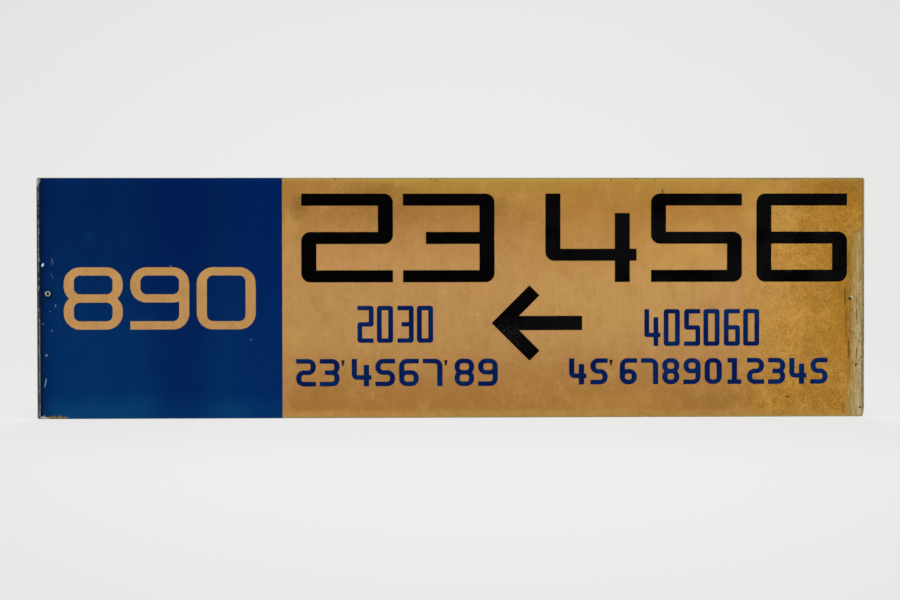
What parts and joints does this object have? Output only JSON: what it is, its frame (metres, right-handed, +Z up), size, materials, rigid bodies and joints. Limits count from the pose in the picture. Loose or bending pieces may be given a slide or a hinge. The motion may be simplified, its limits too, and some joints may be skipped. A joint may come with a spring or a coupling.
{
  "type": "train destination board",
  "caption": "Long flat carriage destination board: a thin metal sheet with cut-film figures, an arrow and a blue class panel on an amber ground, and a small hole near each end.",
  "frame": {"origin": "the centre of the board's back face, in the plane of the back film", "axes": "X along the board, to the right as its face is read; Y straight back, so that the face looks to -Y; Z up the board"},
  "size_m": [0.86, 0.0031, 0.2496],
  "materials": {
    "sheet_metal": "satin",
    "ground_film": "satin",
    "back_film": "satin",
    "blue_film": "satin",
    "black_film": "satin",
    "figure_film": "satin",
    "rivet_metal": "satin"
  },
  "bodies": {
    "root": {"core_sheet": "sheet_metal", "ground_film": "ground_film", "back_film": "back_film", "class_panel": "blue_film", "panel_counters": "blue_film", "left_large_1": "black_film", "left_large_2": "black_film", "right_large_1": "black_film", "right_large_2": "black_film", "right_large_3": "black_film", "arrow": "black_film", "left_small_1": "figure_film", "left_small_2": "figure_film", "right_small_1": "figure_film", "right_small_2": "figure_film", "right_small_3": "figure_film", "left_row": "figure_film", "right_row": "figure_film", "tick_marks": "black_film", "left_rivet": "rivet_metal"}
  },
  "joints": []
}
